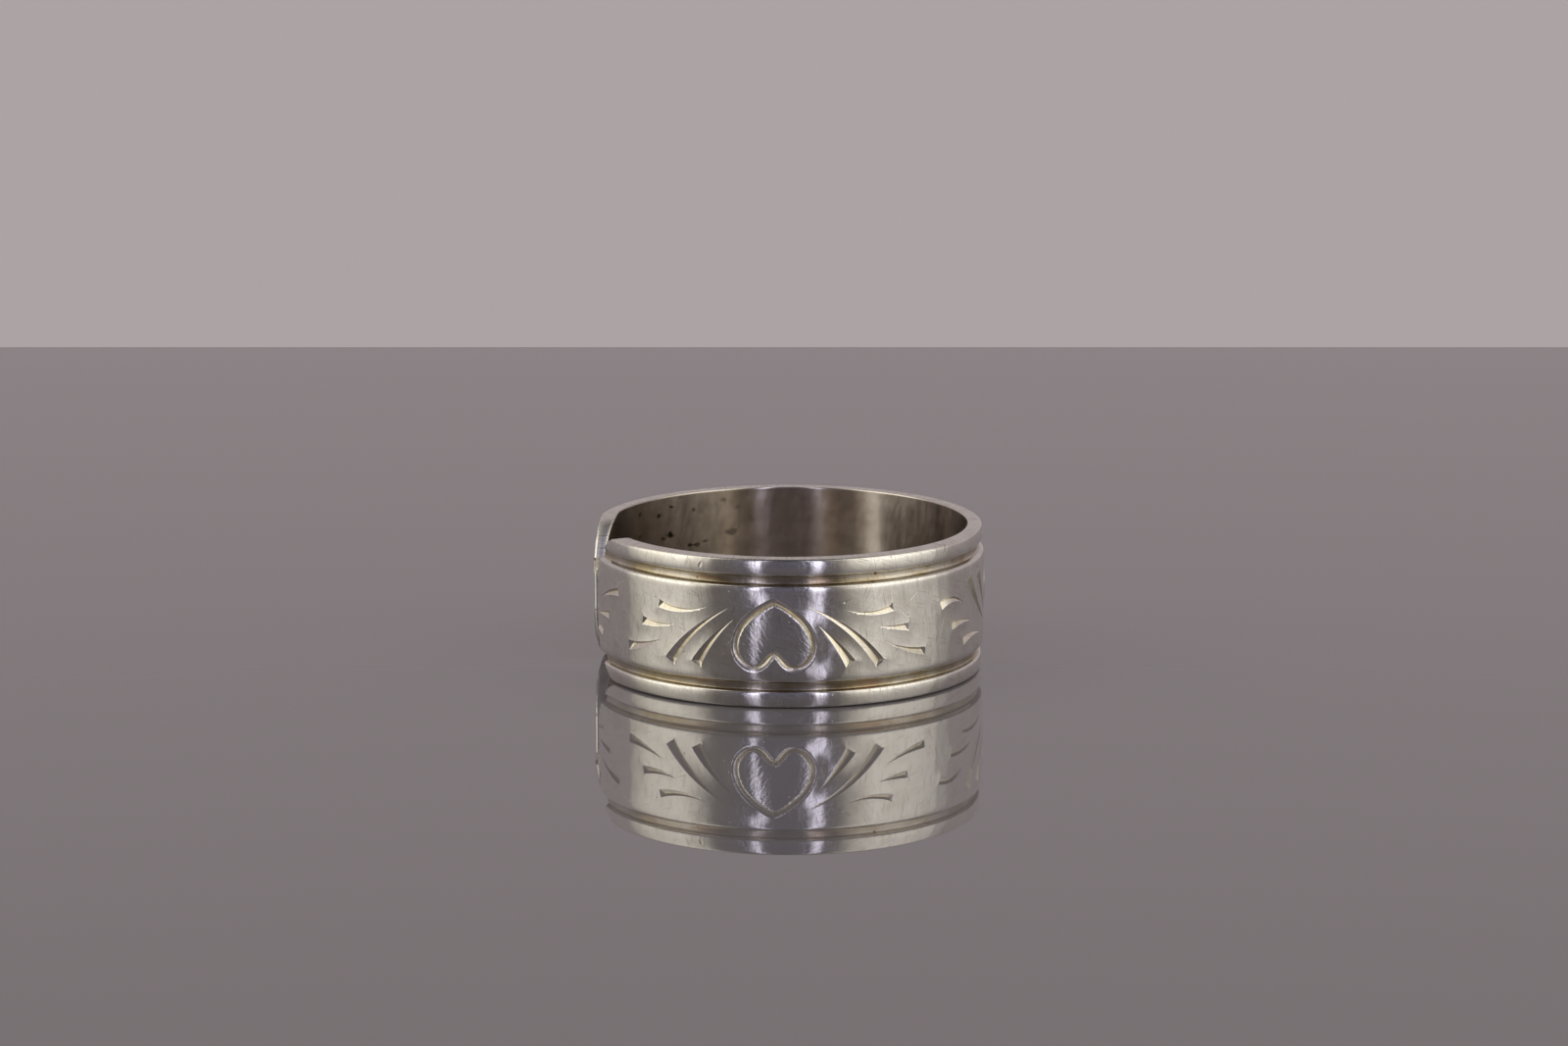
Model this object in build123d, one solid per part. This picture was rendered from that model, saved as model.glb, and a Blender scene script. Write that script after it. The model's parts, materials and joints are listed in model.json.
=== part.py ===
from build123d import *
import math
import os

# An open silver band ring, in millimetres and degrees. The finger bore's axis is Z and the
# lower rim lies on Z = 0. The middle heart faces -Y, and the open gap is on the -X side.
# A turn is an angle from the middle heart towards +X, and "along" is the same as a length
# measured on the field's outside.

# The band.
BORE_DIAMETER = 18.2
BAND_HEIGHT = 7.5
FIELD_WALL = 0.87
BEAD_WALL = 0.74
GROOVE_WALL = 0.57
BEAD_WIDTH = 0.72
BEAD_SET_BACK = 0.08
GROOVE_WIDTH = 0.55
SHOULDER_WIDTH = 0.12
RIM_EDGE_ROUND = 0.10

# The two ends.
HEART_TO_FRONT_END = 12.6
GAP = 2.45
CORNER_RADIUS = 3.0
END_EASE_DEPTH = 0.33
END_EASE_LENGTH = 2.0
END_EDGE_ROUND = 0.20

# The struck motif.
MOTIF_HALF_LENGTH = 8.5
MOTIF_PITCH = 17.6
CUT_WIDTH = 0.60
CUT_HALF_ANGLE = 50.0
CUT_END_FACET = 0.14
HEART_WIDTH = 3.98
HEART_HEIGHT = 3.32
HEART_DROP = 0.085
HEART_CUT_WIDTH = 0.40

# How far a tool reaches past the metal, how high a cut's tip floats off it, and how
# many sections shape each cut and each half of a heart.
TOOL_PROUD = 0.12
TIP_FLOAT = 0.02
CUT_SECTIONS = 5
HEART_SECTIONS = 12

# Each cut runs from its thin tip, through its bow, to its broad end.
# Columns: along as shares of the motif's half length, up as shares of the field's
# height from its middle, and the broad end's width as a share of the widest cut.
LONG_CUTS = [
    dict(tip=(-0.221, 0.290), bow=(-0.459, 0.032), end=(-0.652, -0.338), width=1.00),
    dict(tip=(-0.206, 0.182), bow=(-0.347, -0.034), end=(-0.473, -0.337), width=0.98),
    dict(tip=(0.120, 0.331), bow=(0.398, 0.083), end=(0.635, -0.335), width=0.96),
    dict(tip=(0.232, 0.128), bow=(0.345, -0.067), end=(0.451, -0.317), width=1.00),
]
SMALL_CUTS = [
    dict(tip=(-0.359, 0.279), bow=(-0.565, 0.188), end=(-0.732, 0.222), width=0.69),
    dict(tip=(-0.571, 0.062), bow=(-0.729, 0.004), end=(-0.866, 0.017), width=0.74),
    dict(tip=(-0.676, -0.108), bow=(-0.834, -0.218), end=(-0.996, -0.277), width=0.84),
    dict(tip=(0.373, 0.272), bow=(0.560, 0.184), end=(0.722, 0.218), width=0.62),
    dict(tip=(0.594, 0.053), bow=(0.706, 0.018), end=(0.829, 0.001), width=0.67),
    dict(tip=(0.640, -0.093), bow=(0.782, -0.206), end=(0.957, -0.277), width=0.71),
]

# Half of the heart's outline, from its point round one lobe and into its cleft.
# Columns: across as a share of half the width, up as a share of the height from its middle.
HEART_HALF = [
    dict(across=0.00, up=0.500),
    dict(across=0.49, up=0.334),
    dict(across=0.84, up=0.085),
    dict(across=1.00, up=-0.180),
    dict(across=0.90, up=-0.380),
    dict(across=0.57, up=-0.500),
    dict(across=0.26, up=-0.400),
    dict(across=0.00, up=-0.265),
]

# Where the motif is struck. Columns: pitches from the middle heart, the way up, +1 or -1,
# and how far its small cuts sit above their place, as a share of the field's height.
# The neighbours are upside down, and the outer two show only their inner cuts.
MOTIFS = [
    dict(pitches=-1, way_up=-1, small_rise=-0.05),
    dict(pitches=0, way_up=1, small_rise=0.00),
    dict(pitches=1, way_up=-1, small_rise=-0.08),
    dict(pitches=2, way_up=1, small_rise=0.01),
    dict(pitches=3, way_up=-1, small_rise=-0.02),
]

# Sizes that follow.
BORE_RADIUS = BORE_DIAMETER / 2
FIELD_RADIUS = BORE_RADIUS + FIELD_WALL
BEAD_RADIUS = BORE_RADIUS + BEAD_WALL
GROOVE_RADIUS = BORE_RADIUS + GROOVE_WALL
MIDDLE = BAND_HEIGHT / 2
BEAD_FOOT = BAND_HEIGHT - BEAD_WIDTH
FIELD_TOP = BEAD_FOOT - GROOVE_WIDTH
FIELD_HEIGHT = 2 * (FIELD_TOP - MIDDLE)
FULL_TURN = 360
FRONT_END = -math.degrees(HEART_TO_FRONT_END / FIELD_RADIUS)
GAP_TURN = math.degrees(GAP / FIELD_RADIUS)
REAR_END = FRONT_END + FULL_TURN - GAP_TURN
GAP_MIDDLE = FRONT_END - GAP_TURN / 2
CUT_SPREAD = math.tan(math.radians(CUT_HALF_ANGLE))
TOOL_RADIUS = FIELD_RADIUS + TOOL_PROUD
CORNER = min(CORNER_RADIUS, MIDDLE)


def plain_band():
    """The strip bent round, from the front end to the rear end, with the bore's edges rounded."""
    section = Rectangle(FIELD_WALL, BAND_HEIGHT, align=(Align.MIN, Align.MIN))
    section = fillet(section.vertices().group_by(Axis.X)[0], RIM_EDGE_ROUND)
    section = Plane.XZ * Pos(BORE_RADIUS, 0) * section
    front = Rot(0, 0, FRONT_END - 90) * section
    return revolve(front, Axis.Z, REAR_END - FRONT_END)


def end_tool(side, turn):
    """What an end loses: its two corners, and a slope on the inside that eases it."""
    block = CORNER + TOOL_PROUD
    middle = block / 2 - TOOL_PROUD
    pieces = []
    for level, way in ((0, 1), (BAND_HEIGHT, -1)):
        square = Box(block, TOOL_RADIUS, block)
        square = Pos(side * middle, -TOOL_RADIUS / 2, way * middle) * square
        disc = Rot(90, 0, 0) * Cylinder(CORNER, 2 * TOOL_RADIUS)
        disc = Pos(side * CORNER, -TOOL_RADIUS / 2, way * CORNER) * disc
        pieces.append(Pos(0, 0, level) * (square - disc))

    start = math.sqrt(BORE_RADIUS**2 - END_EASE_LENGTH**2)
    slope = (BORE_RADIUS + END_EASE_DEPTH - start) / END_EASE_LENGTH
    past_end = start + slope * (END_EASE_LENGTH + TOOL_PROUD)
    wedge = Polygon(
        (side * END_EASE_LENGTH, -start),
        (side * END_EASE_LENGTH, 0),
        (-side * TOOL_PROUD, 0),
        (-side * TOOL_PROUD, -past_end),
        align=None,
    )
    pieces.append(extrude(Pos(0, 0, -TOOL_PROUD) * wedge, BAND_HEIGHT + 2 * TOOL_PROUD))
    return [Rot(0, 0, turn) * piece for piece in pieces]


def edge_tool():
    """What the upper edge loses all round: the metal outside its bead, groove and shoulder."""
    foot = (GROOVE_RADIUS + BEAD_RADIUS) / 2
    outline = [
        ThreePointArc(
            (BEAD_RADIUS - BEAD_SET_BACK, BAND_HEIGHT),
            (BEAD_RADIUS, BAND_HEIGHT - BEAD_WIDTH / 2),
            (foot, BEAD_FOOT),
        ),
        Polyline(
            (foot, BEAD_FOOT),
            (GROOVE_RADIUS, BEAD_FOOT),
            (GROOVE_RADIUS, FIELD_TOP + SHOULDER_WIDTH),
            (FIELD_RADIUS, FIELD_TOP),
            (TOOL_RADIUS, FIELD_TOP),
            (TOOL_RADIUS, BAND_HEIGHT + TOOL_PROUD),
            (BEAD_RADIUS - BEAD_SET_BACK, BAND_HEIGHT + TOOL_PROUD),
            (BEAD_RADIUS - BEAD_SET_BACK, BAND_HEIGHT),
        ),
    ]
    section = Plane.XZ * make_face(outline)
    in_gap = Rot(0, 0, GAP_MIDDLE - 90) * section
    return revolve(in_gap, Axis.Z, FULL_TURN)


def wrap(along, up, radius):
    """A place on the field, along the band and up from its middle, at some radius."""
    turn = along / FIELD_RADIUS
    return Vector(radius * math.sin(turn), -radius * math.cos(turn), MIDDLE + up)


def knife_section(along, up, across, depth, keel_shift=(0, 0)):
    """A V-shaped section: its keel at a depth in the metal, its two tops proud of it.

    across is the direction from the keel to a top, a unit long, or longer at a mitre.
    """
    spread = CUT_SPREAD * (depth + TOOL_PROUD)
    tops = [
        wrap(along + way * spread * across[0], up + way * spread * across[1], TOOL_RADIUS)
        for way in (1, -1)
    ]
    keel = wrap(along + keel_shift[0], up + keel_shift[1], FIELD_RADIUS - depth)
    return Wire.make_polygon([tops[0], tops[1], keel])


def cut_knife(cut, centre, way_up, rise):
    """The tool of one tapering cut, deepest at its broad end, which slopes up as a facet."""
    tip, bow, end = (
        (centre + along * MOTIF_HALF_LENGTH, (way_up * up + rise) * FIELD_HEIGHT)
        for along, up in (cut["tip"], cut["bow"], cut["end"])
    )
    path = ThreePointArc(tip, bow, end)
    full_depth = cut["width"] * CUT_WIDTH / 2 / CUT_SPREAD
    sections = []
    for number in range(CUT_SECTIONS):
        share = number / (CUT_SECTIONS - 1)
        spot = path @ share
        ahead = path % share
        facet = CUT_END_FACET if share == 1 else 0
        depth = share * (full_depth + TIP_FLOAT) - TIP_FLOAT
        sections.append(
            knife_section(
                spot.X,
                spot.Y,
                across=(-ahead.Y, ahead.X),
                depth=depth,
                keel_shift=(-ahead.X * facet, -ahead.Y * facet),
            )
        )
    return Solid.make_loft(sections, ruled=True)


def heart_knife(centre, way_up):
    """The tool of one heart: two halves of a V cut, mitred at its point and its cleft."""
    depth = HEART_CUT_WIDTH / 2 / CUT_SPREAD
    halves = []
    for side in (1, -1):
        outline = [
            (
                side * row["across"] * HEART_WIDTH / 2,
                way_up * (row["up"] * HEART_HEIGHT - HEART_DROP),
            )
            for row in HEART_HALF
        ]
        path = Spline(*outline)
        sections = []
        for number in range(HEART_SECTIONS):
            share = number / (HEART_SECTIONS - 1)
            spot = path @ share
            ahead = path % share
            across = (0, 1 / ahead.X) if share in (0, 1) else (-ahead.Y, ahead.X)
            sections.append(knife_section(centre + spot.X, spot.Y, across, depth))
        halves.append(Solid.make_loft(sections, ruled=True))
    return halves[0] + halves[1]


def metal_side(side):
    """The half of space on one side of the gap's middle: +1 for the front end's side."""
    reach = 2 * TOOL_RADIUS
    block = Pos(side * reach / 2, 0, MIDDLE) * Box(reach, 2 * reach, 2 * BAND_HEIGHT)
    return Rot(0, 0, GAP_MIDDLE) * block


def motif_knives():
    """The tools of every motif: those past the gap are left out, or trimmed at it."""
    gap_front = math.radians(GAP_MIDDLE) * FIELD_RADIUS
    gap_rear = math.radians(GAP_MIDDLE + FULL_TURN) * FIELD_RADIUS
    knives = []
    for motif in MOTIFS:
        centre = motif["pitches"] * MOTIF_PITCH
        way_up = motif["way_up"]
        half_heart = HEART_WIDTH / 2
        shapes = [(centre - half_heart, centre + half_heart, heart_knife(centre, way_up))]
        for cuts, rise in ((LONG_CUTS, 0), (SMALL_CUTS, motif["small_rise"])):
            for cut in cuts:
                ends = [centre + cut[spot][0] * MOTIF_HALF_LENGTH for spot in ("tip", "end")]
                shapes.append((min(ends), max(ends), cut_knife(cut, centre, way_up, rise)))
        for low, high, knife in shapes:
            if high < gap_front or low > gap_rear:
                continue
            if low < gap_front:
                knife = knife & metal_side(1)
            if high > gap_rear:
                knife = knife & metal_side(-1)
            knives.append(knife)
    return knives


def ring_band():
    """The whole ring, made as a maker would: strip, ends, edges, then the motifs."""
    band = plain_band()
    band = band - end_tool(1, FRONT_END) - end_tool(-1, REAR_END)
    outside = band.faces().filter_by(GeomType.CYLINDER).sort_by(SortBy.AREA)[-1]
    band = fillet(outside.edges(), END_EDGE_ROUND)
    upper = edge_tool()
    lower = mirror(upper, about=Plane.XY.offset(MIDDLE))
    band = band - upper - lower
    return band - motif_knives()


if __name__ == "__main__":
    os.makedirs("parts", exist_ok=True)
    ring = ring_band()
    export_step(ring, "parts/ring_band.step")
    print("solids", len(ring.solids()), "volume", round(ring.volume, 3), "mm3")
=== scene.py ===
# %% [markdown]
# # Heart ring
# The real object is one strip of sterling silver, 7.5 mm tall, bent round a finger and left
# open on one side. Two grooves turn its edges into rounded beads, and the flat field between
# them is struck with hearts and with sprays of tapering cuts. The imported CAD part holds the
# strip's true sizes. Here it gets what a maker's tools and years of wear leave on it, and so
# the whole strip is modelled again as one fine mesh of the same sizes.

import json
import math

import bmesh
import bpy
import numpy as np
from mathutils import Matrix, Vector

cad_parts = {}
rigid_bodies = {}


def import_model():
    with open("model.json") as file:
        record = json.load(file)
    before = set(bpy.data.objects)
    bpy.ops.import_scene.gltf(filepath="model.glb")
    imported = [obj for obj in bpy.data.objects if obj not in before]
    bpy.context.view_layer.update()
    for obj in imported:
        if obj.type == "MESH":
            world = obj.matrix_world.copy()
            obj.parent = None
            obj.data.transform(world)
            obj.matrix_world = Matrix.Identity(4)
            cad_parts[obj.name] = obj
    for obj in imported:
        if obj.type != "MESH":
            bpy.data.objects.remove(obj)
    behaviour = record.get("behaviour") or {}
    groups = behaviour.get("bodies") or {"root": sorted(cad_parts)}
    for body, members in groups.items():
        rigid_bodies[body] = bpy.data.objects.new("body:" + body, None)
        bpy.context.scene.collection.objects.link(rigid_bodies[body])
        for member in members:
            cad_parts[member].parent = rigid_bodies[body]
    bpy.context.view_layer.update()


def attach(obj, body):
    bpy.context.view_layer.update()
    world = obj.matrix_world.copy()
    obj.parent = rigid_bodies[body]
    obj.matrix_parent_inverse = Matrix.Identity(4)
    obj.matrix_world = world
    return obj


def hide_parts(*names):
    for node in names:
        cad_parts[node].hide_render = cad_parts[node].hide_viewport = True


MM = 0.001

for leftover in list(bpy.data.objects):
    bpy.data.objects.remove(leftover)
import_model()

# %% [markdown]
# ## Camera
# The photograph looks down at the ring by a little over 11 degrees, from far enough away
# that a 100 mm lens frames it. The camera stands slightly to the right of the middle heart.

# %% Camera
CAMERA_PLACE = Vector((15.73, -217.45, 50.88)) * MM
CAMERA_PITCH = 11.29
CAMERA_TURN = 4.2
LENS = 100.0
SENSOR_WIDTH = 36.0
CLIP_START = 0.005
CLIP_END = 10.0


def make_camera():
    """A camera with no shift and no depth of field, as bpy.context.scene.camera."""
    data = bpy.data.cameras.new("camera")
    data.lens = LENS
    data.sensor_width = SENSOR_WIDTH
    data.clip_start = CLIP_START
    data.clip_end = CLIP_END
    camera = bpy.data.objects.new("camera", data)
    camera.location = CAMERA_PLACE
    camera.rotation_euler = (math.radians(90 - CAMERA_PITCH), 0, math.radians(CAMERA_TURN))
    bpy.context.scene.collection.objects.link(camera)
    bpy.context.scene.camera = camera
    return camera


camera = make_camera()
print("camera at, mm:", [round(x / MM, 1) for x in camera.location], "lens:", camera.data.lens)

# %% [markdown]
# ## The strip's sizes
# All of these are millimetres. The strip is modelled unrolled, as the maker had it before it
# was bent: "along" runs from the middle heart towards the rear end, "up" is measured from the
# strip's middle line, and the radius is how far from the finger's axis a place ends up.

# %% Sizes
BORE_DIAMETER = 18.2
BAND_HEIGHT = 7.5
FIELD_WALL = 0.87
BEAD_WIDTH = 0.72
GROOVE_WIDTH = 0.55
RIM_EDGE_ROUND = 0.10

HEART_TO_FRONT_END = 12.6
GAP = 2.45
CORNER_RADIUS = 3.0
END_EASE_DEPTH = 0.33
END_EASE_LENGTH = 2.0
END_EDGE_ROUND = 0.20

MOTIF_HALF_LENGTH = 8.5
MOTIF_PITCH = 17.6
CUT_WIDTH = 0.60
CUT_HALF_ANGLE = 56.0
CUT_END_FACET = 0.14
KEEL_SKEW = 0.28
HEART_WIDTH = 3.80
HEART_HEIGHT = 3.23
HEART_DROP = 0.055
TIP_FLOAT = 0.02

BORE_RADIUS = BORE_DIAMETER / 2
FIELD_RADIUS = BORE_RADIUS + FIELD_WALL
HALF_HEIGHT = BAND_HEIGHT / 2
BEAD_FOOT = HALF_HEIGHT - BEAD_WIDTH
FIELD_HALF = BEAD_FOOT - GROOVE_WIDTH
FIELD_HEIGHT = 2 * FIELD_HALF
CUT_SPREAD = math.tan(math.radians(CUT_HALF_ANGLE))
STRIP_START = -HEART_TO_FRONT_END
STRIP_END = STRIP_START + 2 * math.pi * FIELD_RADIUS - GAP
print("strip length, mm:", round(STRIP_END - STRIP_START, 2))

# %% [markdown]
# ## What is struck into the field
# Each cut is one blow of a V-shaped graver: it enters at a thin tip, bows, and stops at a broad
# end, which a small facet closes. Long cuts fan out below the heart's shoulders and small ones
# stand outside them. The rows below are shares of the motif's half length and of the field's
# height, so a change of one size carries them along. Slips are in millimetres: a scratch where
# the graver ran off, and one small cut that came out as a broad arch.

# %% The motif
LONG_CUTS = [
    dict(tip=(-0.221, 0.290), bow=(-0.459, 0.032), end=(-0.652, -0.338), width=1.00, skew=-0.05),
    dict(tip=(-0.206, 0.182), bow=(-0.347, -0.034), end=(-0.473, -0.337), width=0.98, skew=-0.05),
    dict(tip=(0.120, 0.331), bow=(0.398, 0.083), end=(0.635, -0.335), width=0.96),
    dict(tip=(0.232, 0.128), bow=(0.345, -0.067), end=(0.451, -0.317), width=1.00),
]
SMALL_CUTS = [
    dict(tip=(-0.359, 0.279), bow=(-0.565, 0.188), end=(-0.732, 0.222), width=0.69),
    dict(tip=(-0.571, 0.062), bow=(-0.729, 0.004), end=(-0.866, 0.017), width=0.74),
    dict(tip=(-0.676, -0.108), bow=(-0.834, -0.218), end=(-0.996, -0.277), width=0.84),
    dict(tip=(0.373, 0.272), bow=(0.560, 0.184), end=(0.722, 0.218), width=0.62),
    dict(tip=(0.594, 0.053), bow=(0.706, 0.018), end=(0.829, 0.001), width=0.67),
    dict(tip=(0.640, -0.093), bow=(0.782, -0.206), end=(0.957, -0.277), width=0.71),
]
HEART_HALF = [
    dict(across=0.00, up=0.500),
    dict(across=0.31, up=0.404),
    dict(across=0.62, up=0.266),
    dict(across=0.85, up=0.106),
    dict(across=0.97, up=-0.060),
    dict(across=1.00, up=-0.190),
    dict(across=0.93, up=-0.335),
    dict(across=0.79, up=-0.435),
    dict(across=0.59, up=-0.495),
    dict(across=0.41, up=-0.482),
    dict(across=0.24, up=-0.400),
    dict(across=0.12, up=-0.318),
    dict(across=0.00, up=-0.275),
]
SLIPS = [
    dict(tip=(4.24, 2.02), bow=(3.86, 1.75), end=(3.45, 1.51), width=0.10),
    dict(tip=(11.62, 0.27), bow=(10.35, 0.86), end=(9.29, 0.70), width=0.50),
]
MOTIFS = [
    dict(pitches=-1, way_up=-1, small_rise=-0.05),
    dict(pitches=0, way_up=1, small_rise=0.00),
    dict(pitches=1, way_up=-1, small_rise=-0.08, replaced=SMALL_CUTS[2]),
    dict(pitches=2, way_up=1, small_rise=0.01),
    dict(pitches=3, way_up=-1, small_rise=-0.02),
]
print("cuts in a motif:", len(LONG_CUTS) + len(SMALL_CUTS), "motifs:", len(MOTIFS))

# %% [markdown]
# ## Each cut as an arc
# A graver is pushed and turned at once, so its path is close to an arc. Three places give it:
# the tip, the middle of the bow and the broad end. The tool leans a little, so the wall on a
# cut's upper side is the steeper one, and the keel lies nearer to it.

# %% Cuts as arcs
def arc_cut(tip, bow, end, half_width, skew=KEEL_SKEW):
    """One cut as an arc through its tip, bow and end: its centre, radius, start and sweep."""
    (ax, ay), (bx, by), (cx, cy) = tip, bow, end
    d = 2 * (ax * (by - cy) + bx * (cy - ay) + cx * (ay - by))
    a2, b2, c2 = ax * ax + ay * ay, bx * bx + by * by, cx * cx + cy * cy
    centre = (
        (a2 * (by - cy) + b2 * (cy - ay) + c2 * (ay - by)) / d,
        (a2 * (cx - bx) + b2 * (ax - cx) + c2 * (bx - ax)) / d,
    )
    radius = math.dist(tip, centre)
    start = math.atan2(ay - centre[1], ax - centre[0])
    turn = math.atan2(cy - centre[1], cx - centre[0]) - start
    sweep = (turn + math.pi) % (2 * math.pi) - math.pi
    return dict(
        centre=centre, radius=radius, start=start, way=math.copysign(1, sweep),
        length=abs(sweep) * radius, half_width=half_width, depth=half_width / CUT_SPREAD,
        skew=math.copysign(1, by - centre[1]) * skew,
    )


def motif_cuts():
    """Every cut on the strip, as arcs in millimetres along and up."""
    cuts = []
    for motif in MOTIFS:
        centre = motif["pitches"] * MOTIF_PITCH
        for rows, rise in ((LONG_CUTS, 0), (SMALL_CUTS, motif["small_rise"])):
            for row in rows:
                if row is motif.get("replaced"):
                    continue
                places = [
                    (
                        centre + along * MOTIF_HALF_LENGTH,
                        (motif["way_up"] * up + rise) * FIELD_HEIGHT,
                    )
                    for along, up in (row["tip"], row["bow"], row["end"])
                ]
                half_width = row["width"] * CUT_WIDTH / 2
                cuts.append(arc_cut(*places, half_width, row.get("skew", KEEL_SKEW)))
    for row in SLIPS:
        cuts.append(arc_cut(row["tip"], row["bow"], row["end"], row["width"] / 2))
    return cuts


CUTS = motif_cuts()
print("cuts:", len(CUTS), "longest, mm:", round(max(cut["length"] for cut in CUTS), 2))

# %% [markdown]
# ## The heart's outline
# Half a heart is drawn and mirrored. A cubic spline joins its places as a French curve would,
# so a few places are enough, and the tip and the cleft stay sharp.

# %% Heart outline
SPLINE_STEPS = 4


def smooth_path(points, steps):
    """A cubic spline through the points, with even bends, and a number of steps in each span."""
    last = len(points) - 1
    gaps = np.linalg.norm(np.diff(points, axis=0), axis=1)[:, None]
    slopes = np.diff(points, axis=0) / gaps
    system, known = np.eye(last + 1), np.zeros_like(points)
    known[0] = slopes[0] + (slopes[0] - slopes[1]) * gaps[0] / (gaps[0] + gaps[1])
    known[last] = slopes[-1] + (slopes[-1] - slopes[-2]) * gaps[-1] / (gaps[-1] + gaps[-2])
    for i in range(1, last):
        before, after = gaps[i - 1, 0], gaps[i, 0]
        system[i, i - 1:i + 2] = after, 2 * (before + after), before
        known[i] = 3 * (after * slopes[i - 1] + before * slopes[i])
    ways = np.linalg.solve(system, known)
    t = np.linspace(0, 1, steps, endpoint=False)[:, None]
    path = []
    for a, b, way_a, way_b, gap in zip(points, points[1:], ways, ways[1:], gaps):
        path.append(
            a * (2 * t**3 - 3 * t**2 + 1) + way_a * gap * (t**3 - 2 * t**2 + t)
            + b * (3 * t**2 - 2 * t**3) + way_b * gap * (t**3 - t**2)
        )
    return np.vstack([*path, points[-1]])


def heart_outline(motif):
    """The middle line of one heart's cut as a closed run of places."""
    half = np.array([(row["across"] * HEART_WIDTH / 2, row["up"] * HEART_HEIGHT - HEART_DROP)
                     for row in HEART_HALF])
    right = smooth_path(half, SPLINE_STEPS)
    left = right[::-1] * (-1, 1)
    outline = np.vstack([right, left[1:-1]]) * (1, motif["way_up"])
    return outline + (motif["pitches"] * MOTIF_PITCH, 0)


HEARTS = [heart_outline(motif) for motif in MOTIFS]
print("hearts:", len(HEARTS), "places in an outline:", len(HEARTS[0]))

# %% [markdown]
# ## How a place lies by a cut
# A V cut has the same wall angles all along, so its depth follows its width. Both grow evenly
# from the tip to the broad end, where the facet rises to the field again. Each cut is asked
# only about the places within its reach, which keeps the script quick.

# %% Places by a cut
REACH = 1.4
PATH_PLACES = 5


def near_cut(cut, x, y):
    """The places within reach of a cut, how far along it they lie, and how far to its side."""
    turns = np.linspace(0, cut["length"] / cut["radius"], PATH_PLACES) * cut["way"] + cut["start"]
    path_x = cut["centre"][0] + cut["radius"] * np.cos(turns)
    path_y = cut["centre"][1] + cut["radius"] * np.sin(turns)
    near = np.flatnonzero(
        (x > path_x.min() - REACH) & (x < path_x.max() + REACH)
        & (y > path_y.min() - REACH) & (y < path_y.max() + REACH)
    )
    dx, dy = x[near] - cut["centre"][0], y[near] - cut["centre"][1]
    turn = (np.arctan2(dy, dx) - cut["start"]) * cut["way"]
    turn = (turn + np.pi) % (2 * np.pi) - np.pi
    return near, turn * cut["radius"], np.hypot(dx, dy) - cut["radius"]


def keel_depth(cut, along):
    """How deep a cut's keel lies at a distance from its tip; below zero, it floats."""
    return along / cut["length"] * (cut["depth"] + TIP_FLOAT) - TIP_FLOAT


def inside_cut(cut, along, side):
    """How far inside a cut's outline a place lies, and below zero how far outside."""
    return np.minimum(keel_depth(cut, along) * CUT_SPREAD - np.abs(side), cut["length"] - along)


def keel_place(cut, along):
    """How far to the side of its middle line a cut's keel lies: the upper wall is the steeper."""
    return cut["skew"] * keel_depth(cut, along) * CUT_SPREAD


def wall_depth(cut, along, side):
    """The depth of a cut's two walls, as if it had no facet."""
    half = keel_depth(cut, along) * CUT_SPREAD
    below = (half + side) / (1 + cut["skew"])
    above = (half - side) / (1 - cut["skew"])
    return np.minimum(below, above) / CUT_SPREAD


def facet_depth(cut, along):
    """The depth of the facet that closes a cut's broad end."""
    return (cut["length"] - along) / CUT_END_FACET * cut["depth"]


print("deepest cut, mm:", round(max(cut["depth"] for cut in CUTS), 3))

# %% [markdown]
# ## How a place lies by a heart
# The heart's groove runs all round, so a place needs only its distance from the groove's middle
# line and on which side of it it lies. A place is inside where a level line from it crosses the
# outline an odd number of times.

# %% Places by a heart
HEART_REACH = 1.3


def near_heart(outline, x, y):
    """The places within reach of a heart's cut, and how far outside its middle line they lie."""
    low, high = outline.min(0) - HEART_REACH, outline.max(0) + HEART_REACH
    near = np.flatnonzero((x > low[0]) & (x < high[0]) & (y > low[1]) & (y < high[1]))
    p = np.column_stack([x[near], y[near]])[:, None, :]
    a = outline[None]
    b = np.roll(outline, -1, axis=0)[None]
    run = b - a
    share = np.clip(((p - a) * run).sum(-1) / (run**2).sum(-1), 0, 1)
    distance = np.linalg.norm(p - a - share[..., None] * run, axis=-1).min(1)
    spans = (a[..., 1] > p[..., 1]) != (b[..., 1] > p[..., 1])
    with np.errstate(divide="ignore", invalid="ignore"):
        crossing = a[..., 0] + (p[..., 1] - a[..., 1]) * run[..., 0] / run[..., 1]
    inside = (spans & (p[..., 0] < crossing)).sum(1) % 2 == 1
    return near, np.where(inside, -distance, distance)


to_groove = -near_heart(HEARTS[1], np.zeros(1), np.zeros(1))[1]
print("from a heart's middle to its groove, mm:", to_groove.round(2))

# %% [markdown]
# ## Lines that must be crisp
# A crease shows only where the mesh has an edge along it. These functions are zero along such
# lines: the keels, the creases of the end facets, and lines that run round a cut or a heart at
# a distance. Beside the line they grow evenly, and far from it they say nowhere.

# %% Lines to scribe
NOWHERE = float("nan")
HEART_KEEL = -0.03
KEEL_MARGIN = 0.14
TIP_MARGIN = 0.10
FACET_MARGIN = 0.05
FACET_REACH = 0.35


def keel_line(x, y):
    """Zero along each cut's keel."""
    value = np.full(len(x), NOWHERE)
    for cut in CUTS:
        near, along, side = near_cut(cut, x, y)
        beside = (inside_cut(cut, along, side) > -KEEL_MARGIN) & (along > -TIP_MARGIN)
        value[near[beside]] = (side - keel_place(cut, along))[beside]
    return value


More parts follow.
